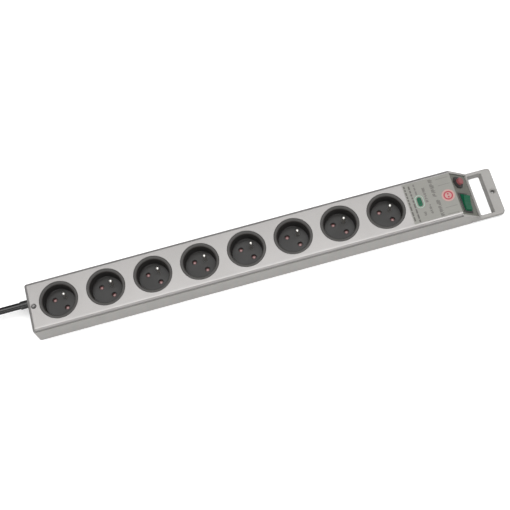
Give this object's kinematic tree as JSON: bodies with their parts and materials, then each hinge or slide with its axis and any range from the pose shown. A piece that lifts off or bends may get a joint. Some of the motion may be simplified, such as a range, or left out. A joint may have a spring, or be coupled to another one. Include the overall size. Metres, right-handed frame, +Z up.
{
  "type": "power strip",
  "caption": "Long silver-grey power strip with round black earthed sockets, a sloped panel with lit rocker switch and reset button, a low handle loop and a black cable stub.",
  "frame": {"origin": "underside of the base, below the middle of the socket row", "axes": "+X along the row towards the handle, +Y across the row away from the switch side, +Z up out of the sockets"},
  "size_m": [0.6575, 0.0654, 0.037],
  "materials": {
    "base_grey": "fine-grained moulded plastic",
    "cover_silver": "satin silver-grey plastic",
    "panel_grey": "dark grey moulded plastic",
    "label_film": "printed satin film",
    "socket_black": "black heat-resistant plastic",
    "shutter_red": "red-brown plastic",
    "earth_metal": "nickel-plated brass",
    "brass": "stamped brass",
    "carrier_white": "glass-filled plastic",
    "steel": "zinc-plated steel",
    "switch_black": "black plastic",
    "rocker_green": "translucent green plastic",
    "button_red": "rose-red plastic",
    "lens_green": "translucent green lens",
    "lamp_glass": "clear glass",
    "board_green": "glass-epoxy circuit board",
    "varistor_blue": "coated ceramic disc",
    "fuse_white": "ceramic sleeve",
    "cable_black": "black PVC sheath",
    "grommet_black": "black moulded strain relief",
    "core_brown": "brown insulation",
    "core_blue": "blue insulation",
    "core_earth": "green and yellow insulation"
  },
  "bodies": {
    "housing": {"base_housing": "base_grey", "board_leads": "core_blue", "board_screws": "steel", "breaker_body": "switch_black", "breaker_nut": "switch_black", "breaker_terminals": "brass", "cable_grommet": "grommet_black", "carrier_screws": "steel", "contact_carriers": "carrier_white", "control_panel": "panel_grey", "cord_clamp": "carrier_white", "cord_clamp_screws": "steel", "earth_busbar": "brass", "earth_core": "core_earth", "earth_pins": "earth_metal", "housing_screws": "steel", "indicator_lamp": "lamp_glass", "indicator_lens": "lens_green", "link_wires": "core_brown", "live_busbar": "brass", "live_contacts": "brass", "live_core": "core_brown", "neutral_busbar": "brass", "neutral_contacts": "brass", "neutral_core": "core_blue", "power_cable": "cable_black", "rating_label": "label_film", "reset_spring": "steel", "rocker_switch_body": "switch_black", "shutter_springs": "steel", "socket_insert_1": "socket_black", "socket_insert_2": "socket_black", "socket_insert_3": "socket_black", "socket_insert_4": "socket_black", "socket_insert_5": "socket_black", "socket_insert_6": "socket_black", "socket_insert_7": "socket_black", "socket_insert_8": "socket_black", "surge_board": "board_green", "switch_lamp": "lamp_glass", "switch_terminals": "brass", "thermal_fuse": "fuse_white", "top_cover": "cover_silver", "varistors": "varistor_blue"},
    "rocker": {"rocker": "rocker_green", "rocker_plunger": "carrier_white"},
    "switch_seesaw": {"switch_seesaw": "brass"},
    "reset_button": {"reset_button": "button_red"},
    "shutter_1": {"shutter_1": "shutter_red"},
    "shutter_2": {"shutter_2": "shutter_red"},
    "shutter_3": {"shutter_3": "shutter_red"},
    "shutter_4": {"shutter_4": "shutter_red"},
    "shutter_5": {"shutter_5": "shutter_red"},
    "shutter_6": {"shutter_6": "shutter_red"},
    "shutter_7": {"shutter_7": "shutter_red"},
    "shutter_8": {"shutter_8": "shutter_red"}
  },
  "joints": [
    {"name": "shutter_1_turn", "type": "hinge", "parent": "housing", "child": "shutter_1", "pos_m": [-0.21, 0, 0.0182], "axis": [0, 0, 1], "range_deg": [0, 40]},
    {"name": "shutter_2_turn", "type": "hinge", "parent": "housing", "child": "shutter_2", "pos_m": [-0.15, 0, 0.0182], "axis": [0, 0, 1], "range_deg": [0, 40]},
    {"name": "shutter_3_turn", "type": "hinge", "parent": "housing", "child": "shutter_3", "pos_m": [-0.09, 0, 0.0182], "axis": [0, 0, 1], "range_deg": [0, 40]},
    {"name": "shutter_4_turn", "type": "hinge", "parent": "housing", "child": "shutter_4", "pos_m": [-0.03, 0, 0.0182], "axis": [0, 0, 1], "range_deg": [0, 40]},
    {"name": "shutter_5_turn", "type": "hinge", "parent": "housing", "child": "shutter_5", "pos_m": [0.03, 0, 0.0182], "axis": [0, 0, 1], "range_deg": [0, 40]},
    {"name": "shutter_6_turn", "type": "hinge", "parent": "housing", "child": "shutter_6", "pos_m": [0.09, 0, 0.0182], "axis": [0, 0, 1], "range_deg": [0, 40]},
    {"name": "shutter_7_turn", "type": "hinge", "parent": "housing", "child": "shutter_7", "pos_m": [0.15, 0, 0.0182], "axis": [0, 0, 1], "range_deg": [0, 40]},
    {"name": "shutter_8_turn", "type": "hinge", "parent": "housing", "child": "shutter_8", "pos_m": [0.21, 0, 0.0182], "axis": [0, 0, 1], "range_deg": [0, 40]},
    {"name": "rocker_tilt", "type": "hinge", "parent": "housing", "child": "rocker", "pos_m": [0.30883, -0.0115, 0.02067], "axis": [0.7285, 0, -0.6851], "range_deg": [-20, 0]},
    {"name": "seesaw_tilt", "type": "hinge", "parent": "housing", "child": "switch_seesaw", "pos_m": [0.30225, -0.0115, 0.01368], "axis": [0.7285, 0, -0.6851], "range_deg": [0, 16]},
    {"name": "reset_push", "type": "slide", "parent": "housing", "child": "reset_button", "axis": [0.6851, 0, 0.7285], "range_m": [-0.002, 0.003], "deforming": ["reset_spring"]}
  ],
  "couplings": [
    {"joint": "seesaw_tilt", "follows": "rocker_tilt", "ratio": -0.8}
  ]
}
